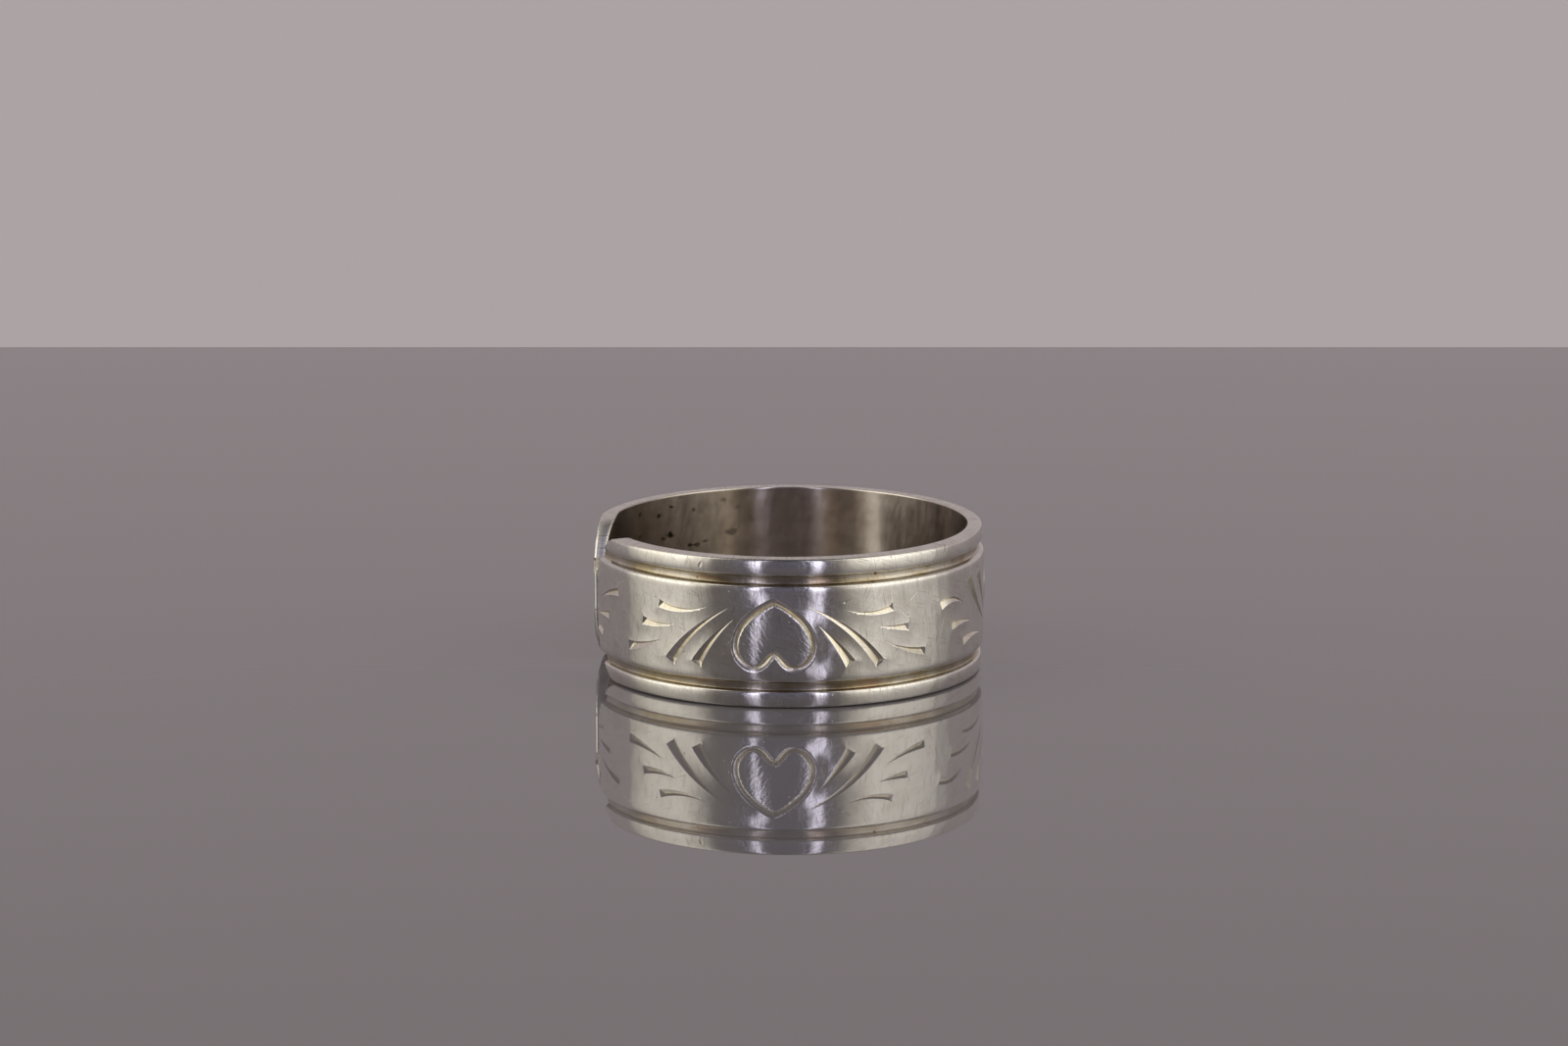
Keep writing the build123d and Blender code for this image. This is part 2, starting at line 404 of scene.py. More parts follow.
def facet_line(x, y):
    """Zero along the two creases between a cut's walls and its facet."""
    value = np.full(len(x), NOWHERE)
    for cut in CUTS:
        near, along, side = near_cut(cut, x, y)
        beside = inside_cut(cut, along, side) > -FACET_MARGIN
        beside &= along > cut["length"] - FACET_REACH
        crease = wall_depth(cut, along, side) - facet_depth(cut, along)
        value[near[beside]] = crease[beside]
    return value


def outline_line(offset):
    """Zero along every cut's outline, or along a line that runs outside it by the offset."""
    def value_of(x, y):
        value = np.full(len(x), -REACH)
        for cut in CUTS:
            near, along, side = near_cut(cut, x, y)
            value[near] = np.maximum(value[near], inside_cut(cut, along, side))
        return value + offset
    return value_of


def heart_line(offset):
    """Zero along a line that runs round outside each heart's middle line by the offset."""
    def value_of(x, y):
        value = np.full(len(x), HEART_REACH)
        for outline in HEARTS:
            near, outside = near_heart(outline, x, y)
            value[near] = outside
        return value - offset
    return value_of


print("places on the middle heart's line:", (heart_line(0)(*HEARTS[1].T) == 0).sum())

# %% [markdown]
# ## Scribing lines into a sheet
# The strip starts as a plain grid. Every grid edge that crosses a line is split at the crossing,
# and the new vertices are joined across the faces. A vertex that already lies almost on the
# line is moved onto it instead, which avoids slivers.

# %% Scribe
OUTSIDE = 1.0
INSIDE = 0.0
ALMOST_ON = 0.16


def scribe(bm, value_of, sheet=OUTSIDE):
    """Adds edges to one sheet, the outer if not told, where value_of changes its sign."""
    on_line = bm.verts.layers.int.get("on_line") or bm.verts.layers.int.new("on_line")
    bm.verts.index_update()
    places = np.array([vert.co for vert in bm.verts])
    values = value_of(places[:, 0], places[:, 1])
    values[places[:, 2] != sheet] = NOWHERE
    ends = np.array([[vert.index for vert in edge.verts] for edge in bm.edges])
    edges = list(bm.edges)
    crossing = np.flatnonzero(values[ends[:, 0]] * values[ends[:, 1]] < 0)
    for number in crossing:
        edge = edges[number]
        first, second = values[ends[number]]
        if first * second >= 0:
            continue
        share = first / (first - second)
        near = edge.verts[0] if share < 0.5 else edge.verts[1]
        if min(share, 1 - share) < ALMOST_ON and not near[on_line] and not near.is_boundary:
            near.co = edge.verts[0].co.lerp(edge.verts[1].co, share)
            near[on_line] = 1
            values[near.index] = 0
    joined = [vert for vert, value in zip(bm.verts, values) if value == 0]
    split = []
    for number in crossing:
        first, second = values[ends[number]]
        if first * second < 0:
            split.append((edges[number], first / (first - second)))
    for edge, share in split:
        vert = bmesh.utils.edge_split(edge, edge.verts[0], share)[1]
        vert[on_line] = 1
        joined.append(vert)
    bmesh.ops.connect_verts(bm, verts=joined)


print("a vertex moves onto a line from within", ALMOST_ON, "of an edge's length")

# %% [markdown]
# ## The strip's section
# Polished metal shows its slope more than its height, so the section is written as tilts in
# degrees: the field's worn edge, the groove's steep wall and flat floor, the bead's steep foot,
# its nearly flat face, and the rounding to the rim. The radii follow by summing the tilts. The
# rows of the grid stand close together where the section turns, and evenly on the field.

# %% Section and rows
FIELD_CELL = 0.110
CAMBER_START = 2.00
SECTION_TILTS = [
    dict(up=2.12, tilt=1), dict(up=2.18, tilt=3), dict(up=2.23, tilt=5),
    dict(up=2.27, tilt=9), dict(up=2.31, tilt=14), dict(up=2.34, tilt=22),
    dict(up=2.365, tilt=33), dict(up=2.383, tilt=46), dict(up=2.397, tilt=60),
    dict(up=2.412, tilt=70), dict(up=2.463, tilt=70), dict(up=2.475, tilt=50),
    dict(up=2.49, tilt=34), dict(up=2.515, tilt=20), dict(up=2.55, tilt=11),
    dict(up=2.61, tilt=5), dict(up=2.69, tilt=2), dict(up=2.77, tilt=-1),
    dict(up=2.81, tilt=-5), dict(up=2.83, tilt=-14), dict(up=2.845, tilt=-30),
    dict(up=2.86, tilt=-55), dict(up=2.87, tilt=-69), dict(up=2.905, tilt=-69),
    dict(up=2.925, tilt=-52), dict(up=2.945, tilt=-36), dict(up=2.97, tilt=-22),
    dict(up=2.99, tilt=-13), dict(up=3.02, tilt=-8), dict(up=3.06, tilt=-5),
    dict(up=3.12, tilt=-2.5), dict(up=3.19, tilt=-0.5), dict(up=3.28, tilt=1.5),
    dict(up=3.38, tilt=3.5), dict(up=3.48, tilt=5), dict(up=3.55, tilt=7),
    dict(up=3.59, tilt=10), dict(up=3.62, tilt=15), dict(up=3.64, tilt=23),
    dict(up=3.66, tilt=34), dict(up=3.677, tilt=46), dict(up=3.70, tilt=58),
    dict(up=3.725, tilt=67), dict(up=3.75, tilt=76),
]


def section_table():
    """The section beside the field's flat: distances from the middle line, and radii."""
    up = np.array([CAMBER_START, *[row["up"] for row in SECTION_TILTS]])
    tilt = np.radians([0, *[row["tilt"] for row in SECTION_TILTS]])
    falls = np.diff(up) * np.tan((tilt[1:] + tilt[:-1]) / 2)
    return up, FIELD_RADIUS - np.concatenate([[0], np.cumsum(falls)])


SECTION_UP, SECTION_RADIUS = section_table()
bead = SECTION_UP > BEAD_FOOT
print("groove's lowest radius, mm:", SECTION_RADIUS[~bead].min().round(3))
print("bead's highest radius, mm:", SECTION_RADIUS[bead].max().round(3))
field_rows = np.linspace(-CAMBER_START, CAMBER_START, round(2 * CAMBER_START / FIELD_CELL) + 1)
ROWS = np.concatenate([-SECTION_UP[:0:-1], field_rows, SECTION_UP[1:]])
COLUMNS = round((STRIP_END - STRIP_START) / FIELD_CELL)
print("rows:", len(ROWS), "columns:", COLUMNS)

# %% [markdown]
# ## The ends' outline
# Both ends are rounded at their corners, like a file-finished strip. The outline is straight
# seen from the side of the bent ring, so it curves a little on the unrolled strip.

# %% Outline of the ends
def corner_setback(up):
    """How far from the end's flat stretch the outline lies at a height: a quarter round."""
    past = np.clip(np.abs(up) - (HALF_HEIGHT - CORNER_RADIUS), 0, CORNER_RADIUS)
    return CORNER_RADIUS - np.sqrt(CORNER_RADIUS**2 - past**2)


def past_outline(x, y):
    """How far along the strip a place lies past the outline of either end."""
    to_start = FIELD_RADIUS * np.sin(np.clip((x - STRIP_START) / FIELD_RADIUS, -1, 1))
    to_end = FIELD_RADIUS * np.sin(np.clip((STRIP_END - x) / FIELD_RADIUS, -1, 1))
    return corner_setback(y) - np.minimum(to_start, to_end)


def from_outline(x, y):
    """The shortest distance from a place on the strip to its outline."""
    middle = (STRIP_START + STRIP_END) / 2
    reach = (STRIP_END - STRIP_START) / 2 - CORNER_RADIUS
    over_x = np.abs(x - middle) - reach
    over_y = np.abs(y) - (HALF_HEIGHT - CORNER_RADIUS)
    corner = np.hypot(np.maximum(over_x, 0), np.maximum(over_y, 0))
    return CORNER_RADIUS - corner - np.minimum(np.maximum(over_x, over_y), 0)


def edge_line(distance):
    """Zero along a line that runs round inside the ends' outline at a distance."""
    def value_of(x, y):
        near_end = np.minimum(x - STRIP_START, STRIP_END - x) < CORNER_RADIUS
        return np.where(near_end, from_outline(x, y) - distance, NOWHERE)
    return value_of


corner = past_outline(np.array([STRIP_END]), np.array([HALF_HEIGHT]))
print("the grid's corner lies past the outline by, mm:", corner.round(2))

# %% [markdown]
# ## The strip as a shell
# The grid is cut to the outline, and an extrusion of the whole sheet gives it an inner side
# and the rim and end faces between them. The inner side is plain, so most of its rows are
# dissolved, except near the ends, where it is eased.

# %% Shell
INNER_ROWS_FROM = 3.61
INNER_ROW_STEP = 8
INNER_END_REACH = 3.4
PAST_MARGIN = 1e-4
SAME_HEIGHT = 1e-6
ROW_DIGITS = 4


def plain_sheet():
    """The outer side as a flat grid, cut to the strip's outline."""
    bm = bmesh.new()
    last_row = len(ROWS) - 1
    bmesh.ops.create_grid(bm, x_segments=COLUMNS, y_segments=last_row, size=1)
    for vert in bm.verts:
        along = (vert.co.x + 1) / 2
        row = round((vert.co.y + 1) / 2 * last_row)
        vert.co = (STRIP_START + (STRIP_END - STRIP_START) * along, ROWS[row], OUTSIDE)
    scribe(bm, past_outline)
    places = np.array([vert.co for vert in bm.verts])
    past = past_outline(places[:, 0], places[:, 1]) > PAST_MARGIN
    bmesh.ops.delete(bm, geom=[v for v, gone in zip(bm.verts, past) if gone], context="VERTS")
    return bm


def add_inner_side(bm):
    """Extrudes the sheet to a closed shell, whose inner side has only the rows that it needs."""
    whole = [*bm.verts, *bm.edges, *bm.faces]
    made = bmesh.ops.extrude_face_region(bm, geom=whole, use_keep_orig=True)["geom"]
    for item in made:
        if isinstance(item, bmesh.types.BMVert):
            item.co.z = INSIDE
    near_rim = ROWS[np.abs(ROWS) > INNER_ROWS_FROM]
    kept = {round(up, ROW_DIGITS) for up in [*ROWS[::INNER_ROW_STEP], *near_rim]}
    eased_start, eased_end = STRIP_START + INNER_END_REACH, STRIP_END - INNER_END_REACH
    spare = [
        edge for edge in bm.edges
        if edge.verts[0].co.z == INSIDE and edge.verts[1].co.z == INSIDE
        and abs(edge.verts[0].co.y - edge.verts[1].co.y) < SAME_HEIGHT
        and round(edge.verts[0].co.y, ROW_DIGITS) not in kept
        and eased_start < edge.verts[0].co.x < eased_end
        and eased_start < edge.verts[1].co.x < eased_end
        and all(abs(face.normal.z) > 0.5 for face in edge.link_faces)
    ]
    bmesh.ops.dissolve_edges(bm, edges=spare, use_verts=True)


bm = plain_sheet()
print("sheet:", len(bm.verts), "vertices")
add_inner_side(bm)
print("shell:", len(bm.verts), "vertices,", len(bm.faces), "faces")

# %% [markdown]
# ## Scribing the shell
# First come the lines along which the ends' edges are rounded, on both sides of the strip. Then
# the outer side gets the cuts' keels, facets and outlines with the feet of their lips, and the
# hearts' keels with both walls.

# %% Scribe the shell
EDGE_LINES_OUTSIDE = (0.02, 0.07, END_EDGE_ROUND)
EDGE_LINES_INSIDE = (0.02, RIM_EDGE_ROUND)
LIP_FOOT = 0.10
HEART_WALL_WIDTH = 0.30
HEART_LINES = (0.0, -0.045, 0.12, HEART_WALL_WIDTH)

for distance in EDGE_LINES_OUTSIDE:
    scribe(bm, edge_line(distance))
for distance in EDGE_LINES_INSIDE:
    scribe(bm, edge_line(distance), INSIDE)
scribe(bm, keel_line)
scribe(bm, facet_line)
scribe(bm, outline_line(0))
scribe(bm, outline_line(LIP_FOOT))
for past_keel in HEART_LINES:
    scribe(bm, heart_line(HEART_KEEL + past_keel))
print("scribed:", len(bm.verts), "vertices,", len(bm.faces), "faces")

# %% [markdown]
# ## Cuts, lips and hearts
# The metal that a graver pushes aside stands up beside its cut: a low lip, which falls off
# within a few tenths of a millimetre, on a broader and lower swell. Where cuts lie close, their
# lips are summed as cubes, so the higher one wins and no crease shows between them. A heart's
# groove has a steep inner wall and a broad outer one, and its middle is slightly domed.

# %% Relief
LIP_HEIGHT = 0.016
LIP_FALL = 0.15
SWELL_HEIGHT = 0.008
SWELL_FALL = 0.45
HEART_DEPTH = 0.15
HEART_FALL_INSIDE = 0.022
HEART_RIDGE = 0.036
HEART_RIDGE_FALL = 0.50
HEART_PILLOW = 0.022
HEART_PILLOW_RISE = 0.45
HEART_WALL_BEND = 1.5
HEART_FACE_EDGE = 0.1


def cut_relief(x, y):
    """Depth of the cuts and height of the lips beside them, for every place."""
    depth, lip = np.zeros(len(x)), np.zeros(len(x))
    for cut in CUTS:
        near, along, side = near_cut(cut, x, y)
        cut_in = np.minimum(wall_depth(cut, along, side), facet_depth(cut, along))
        depth[near] = np.maximum(depth[near], cut_in)
        beyond = np.maximum(along - cut["length"], 0)
        outside = np.hypot(np.maximum(-inside_cut(cut, along, side), 0), beyond)
        growth = np.clip(keel_depth(cut, along) / cut["depth"], 0, 1)
        strength = growth * cut["half_width"] / CUT_WIDTH * 2
        raised = LIP_HEIGHT * strength * np.exp(-outside / LIP_FALL)
        raised += SWELL_HEIGHT * strength * np.exp(-(outside / SWELL_FALL) ** 2)
        lip[near] += raised**3
    return depth, np.cbrt(lip)


def heart_relief(x, y):
    """Depth of the hearts' cuts, height of the metal beside them, and which places are inside."""
    depth, lip, inside = np.zeros(len(x)), np.zeros(len(x)), np.zeros(len(x))
    for outline in HEARTS:
        near, outside = near_heart(outline, x, y)
        past_keel = outside - HEART_KEEL
        depth[near] = HEART_DEPTH * np.where(
            past_keel > 0,
            np.clip(1 - past_keel / HEART_WALL_WIDTH, 0, 1) ** HEART_WALL_BEND,
            np.exp(np.minimum(past_keel, 0) / HEART_FALL_INSIDE),
        )
        lip[near] = np.where(
            past_keel > 0,
            HEART_RIDGE * np.exp(-(past_keel / HEART_RIDGE_FALL) ** 2),
            HEART_RIDGE + HEART_PILLOW * (1 - np.exp(past_keel / HEART_PILLOW_RISE)),
        )
        inside[near] = np.clip(-past_keel / HEART_FACE_EDGE, 0, 1)
    return depth, lip, inside


across = np.linspace(-HEART_WIDTH, HEART_WIDTH, 200)
print("deepest in the middle heart's groove, mm:", heart_relief(across, 0 * across)[0].max().round(3))

# %% [markdown]
# ## The strip's radius
# The section gives the plain radius, and the rounded edges of the ends lower it. The grooves run
# out shortly before the rear end, where the band is a plain blank. A hand-made band is never
# quite even either: a few slow waves of some micrometres bend what it mirrors.

# %% Radius
PLAIN_END = 0.4
GROOVE_RUN_OUT = 1.3
PLAIN_RIM_ROUND = 0.34
ROUND_SHARE = 0.97
FIELD_FADE = 0.3
TARNISH_FROM = 0.14
TARNISH_FADE = 0.06
BEAD_TOE = 2.95
WAVES = [
    dict(along=9.1, up=23.0, height=0.0080, shift=0.4),
    dict(along=5.3, up=-9.7, height=0.0040, shift=1.9),
    dict(along=3.1, up=5.9, height=0.0018, shift=4.1),
    dict(along=2.3, up=-3.7, height=0.0012, shift=2.6),
    dict(along=-1.4, up=2.1, height=0.0006, shift=0.9),
    dict(along=0.9, up=1.7, height=0.0003, shift=5.2),
]


def unevenness(x, y):
    """The slow waves of a hand-made band."""
    return sum(
        row["height"] * np.sin(2 * np.pi * (x / row["along"] + y / row["up"]) + row["shift"])
        for row in WAVES
    )


def strip_section(x, y):
    """The section's radius. The grooves run out shortly before the rear end."""
    grooved = np.interp(np.abs(y), SECTION_UP, SECTION_RADIUS, left=FIELD_RADIUS)
    past = np.clip(np.abs(y) - HALF_HEIGHT + PLAIN_RIM_ROUND, 0, PLAIN_RIM_ROUND * ROUND_SHARE)
    plain = FIELD_RADIUS - PLAIN_RIM_ROUND + np.sqrt(PLAIN_RIM_ROUND**2 - past**2)
    share = np.clip((STRIP_END - x - PLAIN_END) / GROOVE_RUN_OUT, 0, 1)
    share = share * share * (3 - 2 * share)
    return plain + (grooved - plain) * share


def outer_radius(x, y):
    """The outer side's radius and what the finish needs to know about each place."""
    section = strip_section(x, y)
    inward = END_EDGE_ROUND - np.clip(from_outline(x, y), 0, END_EDGE_ROUND)
    blank = FIELD_RADIUS - END_EDGE_ROUND + np.sqrt(END_EDGE_ROUND**2 - inward**2)
    cuts, cut_lips = cut_relief(x, y)
    hearts, heart_lips, in_heart = heart_relief(x, y)
    on_field = np.clip((FIELD_HALF - np.abs(y)) / FIELD_FADE, 0, 1)
    depth = np.maximum(cuts, hearts) * on_field
    raised = np.cbrt(cut_lips**3 + heart_lips**3) * on_field + unevenness(x, y)
    raised *= 1 - inward / END_EDGE_ROUND
    radius = np.minimum(section - depth, blank) + raised
    in_groove = np.clip((FIELD_RADIUS - TARNISH_FROM - section) / TARNISH_FADE, 0, 1)
    return radius, depth, in_groove * (np.abs(y) < BEAD_TOE), in_heart


def inner_radius(x, y):
    """The bore, eased towards both ends, with its edges rounded."""
    turn = np.minimum(x - STRIP_START, STRIP_END - x) / FIELD_RADIUS
    start = math.sqrt(BORE_RADIUS**2 - END_EASE_LENGTH**2)
    slope = (BORE_RADIUS + END_EASE_DEPTH - start) / END_EASE_LENGTH
    near_end = np.minimum(turn, END_EASE_LENGTH / BORE_RADIUS)
    eased = (BORE_RADIUS + END_EASE_DEPTH) / (np.cos(near_end) + slope * np.sin(near_end))
    inward = RIM_EDGE_ROUND - np.clip(from_outline(x, y), 0, RIM_EDGE_ROUND)
    rounded = RIM_EDGE_ROUND - np.sqrt(RIM_EDGE_ROUND**2 - inward**2)
    return np.maximum(BORE_RADIUS, eased) + rounded


middle = (STRIP_START + STRIP_END) / 2
print("bore's radius, mm:", inner_radius(np.array([middle]), np.zeros(1)).round(3))

# %% [markdown]
# ## Bending the strip
# The unrolled strip is wrapped round the finger's axis. Each vertex keeps its place on the
# strip, how deep it lies in a cut, a groove or a heart, and whether it is on the bore or on the
# rim, because the finish follows these. Edges that turn sharply are marked as creases.

# %% Bend
SHARP_ANGLE = math.radians(24)
ON_RIM = 0.005
BRUSH_FROM = 0.01
BRUSH_FADE = 0.06


def bend_round(bm):
    """Gives each vertex its radius, keeps its place for the finish, and bends the strip round."""
    strip = bm.verts.layers.float_vector.new("strip")
    places = np.array([vert.co for vert in bm.verts])
    x, y, side = places.T
    is_outer = side == OUTSIDE
    outer, depth, in_groove, in_heart = outer_radius(x, y)
    radius = np.where(is_outer, outer, inner_radius(x, y))
    brushed = np.clip((from_outline(x, y) - BRUSH_FROM) / BRUSH_FADE, 0, 1) * (side == INSIDE)
    turn = x / FIELD_RADIUS
    bent = np.column_stack([radius * np.sin(turn), -radius * np.cos(turn), HALF_HEIGHT + y]) * MM
    for number, vert in enumerate(bm.verts):
        vert[strip] = (x[number], y[number], radius[number])
        vert.co = bent[number]
    kept = dict(
        depth=depth * is_outer, groove=in_groove * is_outer, heart=in_heart * is_outer,
        inner=brushed, side=side, rim=from_outline(x, y) < ON_RIM,
    )
    for name, values in kept.items():
        layer = bm.verts.layers.float.new(name)
        for vert, value in zip(bm.verts, values):
            vert[layer] = value


bend_round(bm)
bmesh.ops.recalc_face_normals(bm, faces=bm.faces)
if bm.calc_volume(signed=True) < 0:
    bmesh.ops.reverse_faces(bm, faces=bm.faces)
for face in bm.faces:
    face.smooth = True
for edge in bm.edges:
    edge.smooth = edge.calc_face_angle(0) < SHARP_ANGLE
print("volume, mm3:", round(bm.calc_volume() / MM**3, 1), "(solid: 334.5)")
print("open edges:", sum(edge.is_boundary for edge in bm.edges))

# %% [markdown]
# ## Shading the relief
# A mirror shows the smallest error of a normal. On the field each face's corner gets the slope
# of the relief itself, measured a little inside the face, so that a crease stays crisp and a
# lip smooth. Everywhere else the mesh's own normals do.

# %% Shading and the finished mesh
CORNER_INSET = 0.35
SLOPE_STEP = 0.0005


def relief_normals(mesh):
    """Shades the field by the relief's own slopes, so that creases stay crisp and lips smooth."""
    strip = np.empty(len(mesh.vertices) * 3)
    mesh.attributes["strip"].data.foreach_get("vector", strip)
    side = np.empty(len(mesh.vertices))
    mesh.attributes["side"].data.foreach_get("value", side)
    corner = np.empty(len(mesh.loops), dtype=int)
    mesh.loops.foreach_get("vertex_index", corner)
    normals = np.empty(len(mesh.loops) * 3)
    mesh.corner_normals.foreach_get("vector", normals)
    normals = normals.reshape(-1, 3)
    counts = np.empty(len(mesh.polygons), dtype=int)
    mesh.polygons.foreach_get("loop_total", counts)
    face = np.repeat(np.arange(len(counts)), counts)

    place = strip.reshape(-1, 3)[corner]
    middle = np.stack([np.bincount(face, place[:, i]) / counts for i in range(3)], axis=1)[face]
    outer = np.bincount(face, side[corner] != OUTSIDE)[face] == 0
    on_field = (np.abs(middle[:, 1]) < CAMBER_START) & (np.abs(place[:, 1]) <= CAMBER_START)
    shaded = np.flatnonzero(outer & on_field)
    x, y = (place + (middle - place) * CORNER_INSET)[shaded, :2].T
    h = SLOPE_STEP
    along = (outer_radius(x + h, y)[0] - outer_radius(x - h, y)[0]) / (2 * h)
    upward = (outer_radius(x, y + h)[0] - outer_radius(x, y - h)[0]) / (2 * h)
    turn = place[shaded, 0] / FIELD_RADIUS
    bend = FIELD_RADIUS / place[shaded, 2]
    sin, cos = np.sin(turn), np.cos(turn)
    normal = np.column_stack([sin - bend * along * cos, -cos - bend * along * sin, -upward])
    normals[shaded] = normal / np.linalg.norm(normal, axis=1)[:, None]
    mesh.normals_split_custom_set(normals)


mesh = bpy.data.meshes.new("ring_strip")
bm.to_mesh(mesh)
bm.free()
relief_normals(mesh)
ring = bpy.data.objects.new("ring_strip", mesh)
bpy.context.scene.collection.objects.link(ring)
print("triangles:", sum(len(face.vertices) - 2 for face in mesh.polygons))

# %% [markdown]
# ## Adding nodes
# A material is a tree of nodes. One function adds any node, sets its properties, and fills the
# inputs that it shows: in their order, as the editor lists them, or by name.

# %% Add a node
MULTIPLY = {"operation": "MULTIPLY"}
MULTIPLY_ADD = {"operation": "MULTIPLY_ADD"}


def linear(hex_colour):
    """An sRGB hex colour as linear red, green, blue and alpha."""
    channels = [int(hex_colour[i:i + 2], 16) / 255 for i in (1, 3, 5)]
    return (*[c / 12.92 if c <= 0.04045 else ((c + 0.055) / 1.055) ** 2.4 for c in channels], 1.0)


def shown(sockets):
    """The sockets that a node shows with the properties that it has now."""
    return [socket for socket in sockets if socket.enabled]


def add(tree, kind, properties, *inputs, **named):
    """Adds a node. An input is a number, a hex colour, a socket, or a node's first shown output."""
    node = tree.nodes.new(kind)
    for name, value in properties.items():
        setattr(node, name, value)
    filled = [*zip(shown(node.inputs), inputs)]
    filled += [(node.inputs[name.replace("_", " ")], value) for name, value in named.items()]
    for socket, value in filled:
        if isinstance(value, bpy.types.Node):
            value = shown(value.outputs)[0]
        if isinstance(value, bpy.types.NodeSocket):
            tree.links.new(value, socket)
        else:
            socket.default_value = linear(value) if isinstance(value, str) else value
    return node


def set_stops(ramp, stops):
    """Gives a colour ramp one stop for each place and colour."""
    elements = ramp.color_ramp.elements
    while len(elements) < len(stops):
        elements.new(0.5)
    for element, (place, colour) in zip(elements, stops):
        element.position = place
        element.color = colour
    return ramp


def new_material(name):
    """A material with nothing but its output, and its node tree."""
    material = bpy.data.materials.new(name)
    material.use_nodes = True
    tree = material.node_tree
    tree.nodes.clear()
    return material, tree


print("polished silver, linear:", [round(channel, 3) for channel in linear("#f5f3eb")])

# %% [markdown]
# ## Patterns in millimetres
# Every pattern is drawn on the unrolled strip, whose places each vertex keeps in millimetres, so
# a pattern follows the metal round the finger. Stretched clouds of noise serve as tarnish,
# film, brushing and scratches, according to their length and width in millimetres. Noise below
# low counts as nothing and above high as all, and a shift takes each from another place.

# %% Patterns
CLOUDS = dict(
    tarnish=dict(turn=0, length=1.8, width=0.8, low=0.35, high=0.70),
    brown=dict(turn=0, length=2.6, width=0.5, low=0.52, high=0.78, shift=40.0),
    film=dict(turn=20, length=1.3, width=0.9, low=0.40, high=0.75, shift=60.0, detail=4.0),
    mottle=dict(turn=0, length=1.5, width=0.9, low=0.35, high=0.65, shift=80.0, detail=4.0),
    stain=dict(turn=0, length=0.85, width=0.60, low=0.60, high=0.74, shift=90.0, detail=2.5),
    haze=dict(turn=75, length=1.1, width=0.35, low=0.3, high=0.7, shift=7.0, detail=4.0),
    ripple=dict(turn=30, length=0.9, width=0.6, low=0.1, high=0.9, shift=52.0, detail=3.0),
    grain=dict(turn=86, length=0.9, width=0.05, low=0.2, high=0.8, shift=12.0),
    punch=dict(turn=55, length=0.40, width=0.13, low=0.3, high=0.7, shift=33.0),
    brush=dict(turn=0, length=3.0, width=0.05, low=0.2, high=0.8, shift=21.0),
)
SOFT_STEP = {"interpolation_type": "SMOOTHSTEP"}
FLAT = (1, 1, 0)


def stretched(tree, strip, turn, length, width, shift=0.0):
    """The strip's millimetres turned, and divided by the length and width of what is drawn."""
    turned = add(
        tree, "ShaderNodeMapping", {}, strip,
        Rotation=(0, 0, math.radians(turn)), Location=(shift, shift, 0),
    )
    return add(tree, "ShaderNodeMapping", {}, turned, Scale=(1 / length, 1 / width, 1))


def clouds(tree, strip, turn, length, width, low, high, shift=0.0, detail=2.0):
    """Stretched noise between 0 and 1, with everything below low at 0 and above high at 1."""
    place = stretched(tree, strip, turn, length, width, shift)
    noise = add(tree, "ShaderNodeTexNoise", {}, place, Scale=1.0, Detail=detail)
    return add(tree, "ShaderNodeMapRange", SOFT_STEP, noise, low, high)


def from_place(tree, strip, along, up):
    """The strip's millimetres measured from one place on it."""
    return add(tree, "ShaderNodeMapping", {}, strip, Location=(-along, -up, 0), Scale=FLAT)


finest = min(CLOUDS, key=lambda name: CLOUDS[name]["width"])
print("patterns:", len(CLOUDS), "finest:", finest, CLOUDS[finest]["width"], "mm wide")

# %% [markdown]
# ## Wear
# A ring that has been worn for years has hairline scratches, small round pits and a few dents
# with raised edges. The real hairlines are finer than the render can show, so they are drawn as
# coarse as they need to be. The field is a little rippled by its polishing, and the hearts
# keep the short strokes of the punch that flattened them.

# %% Wear
SCRATCHES = [
    dict(turn=82, length=1.5, width=0.030, low=0.68, high=0.76, shift=3.0),
    dict(turn=-68, length=1.1, width=0.028, low=0.70, high=0.77, shift=9.0),
    dict(turn=18, length=1.3, width=0.028, low=0.71, high=0.78, shift=17.0),
]
SCRATCH_DEPTH = 0.0004
SCRATCH_DIRT = 0.55
RIPPLE_HEIGHT = 0.0035
GRAIN_HEIGHT = 0.0002
PUNCH_DEPTH = 0.0018
BRUSH_HEIGHT = 0.0005
PIT_SPACING = 0.75
PIT_RADIUS = 0.075
PIT_DEPTH = 0.007
PIT_SHARE = 0.7
PIT_TURN = 62
PIT_SQUASH = 0.7
MARKS = [
    dict(along=-3.83, up=3.29, length=0.10, width=0.20, turn=24, depth=0.016),
    dict(along=-9.60, up=3.38, length=0.06, width=0.13, turn=5, depth=0.012),
    dict(along=7.05, up=0.55, length=0.09, width=0.09, turn=0, depth=0.006),
    dict(along=-5.30, up=2.36, length=0.20, width=0.06, turn=-12, depth=0.006),
    dict(along=1.60, up=2.38, length=0.12, width=0.05, turn=8, depth=0.006),
    dict(along=6.70, up=0.80, length=0.80, width=0.032, turn=48, depth=0.006),
    dict(along=7.30, up=1.45, length=0.55, width=0.032, turn=-38, depth=0.006),
    dict(along=9.40, up=-0.30, length=0.90, width=0.030, turn=-72, depth=0.006),
    dict(along=-7.90, up=-0.95, length=0.70, width=0.032, turn=-64, depth=0.006),
    dict(along=-4.10, up=1.90, length=0.60, width=0.030, turn=30, depth=0.006),
    dict(along=-9.10, up=1.75, length=0.85, width=0.030, turn=-20, depth=0.006),
]
DENT_SHAPE = [(0.0, 0.0), (0.2, 0.1), (0.45, 0.6), (0.55, 0.68), (0.8, 0.6)]
